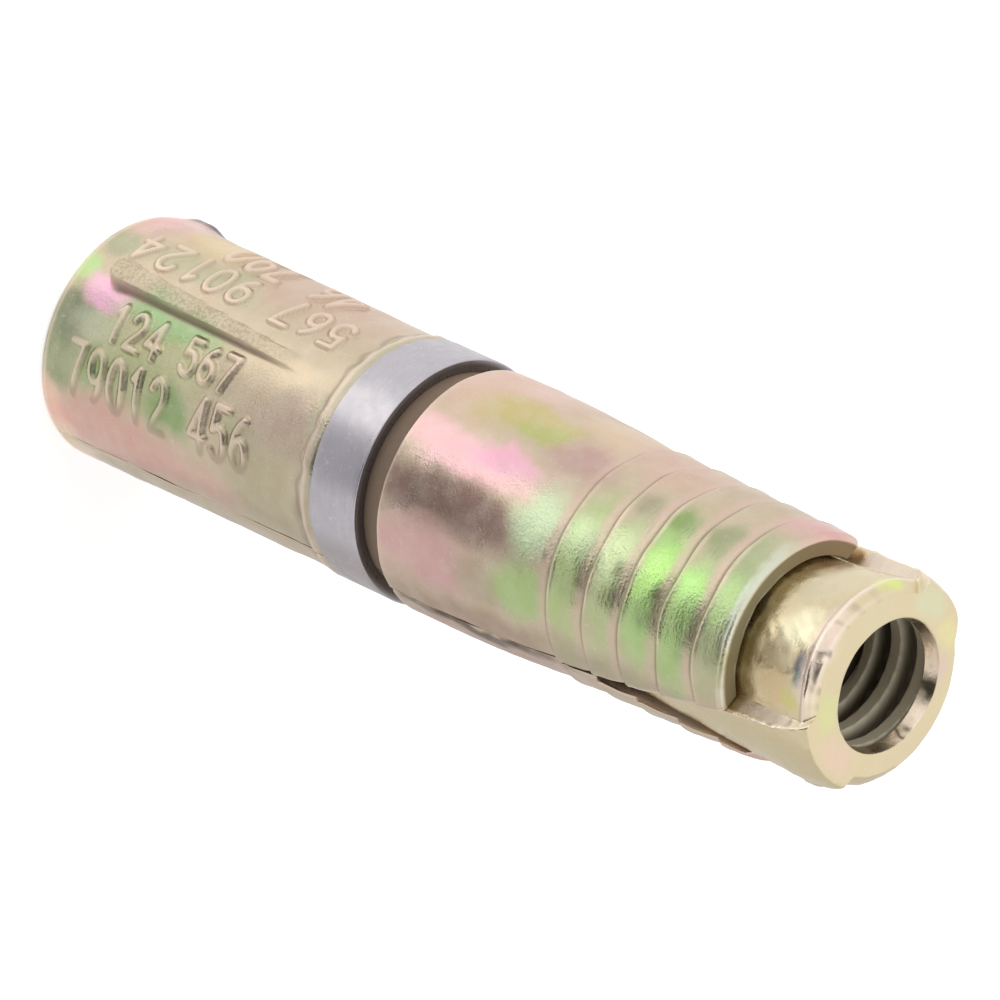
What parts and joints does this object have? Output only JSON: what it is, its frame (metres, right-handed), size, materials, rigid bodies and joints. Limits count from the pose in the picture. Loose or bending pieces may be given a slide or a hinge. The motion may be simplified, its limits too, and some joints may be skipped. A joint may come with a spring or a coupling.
{
  "type": "expansion anchor",
  "caption": "Split-sleeve expansion anchor: ribbed half shells held by a split steel band, with a winged, tapered expander nut for a quarter-inch bolt.",
  "frame": {"origin": "centre of the flat rear end face, on the anchor's axis", "axes": "+Z along the axis towards the expander nut, +X through the rib of half_shell_a, the seams between the shells at +Y and -Y"},
  "size_m": [0.0106, 0.0096, 0.0394],
  "materials": {
    "shell_plating": "satin yellow-passivated zinc plating, iridescent pink, olive and green",
    "nut_plating": "satin yellow-passivated zinc plating, pale gold",
    "band_steel": "bare brushed steel with fine scratches"
  },
  "bodies": {
    "root": {"half_shell_a": "shell_plating", "half_shell_b": "shell_plating", "retaining_band": "band_steel", "expander_nut": "nut_plating"}
  },
  "joints": []
}
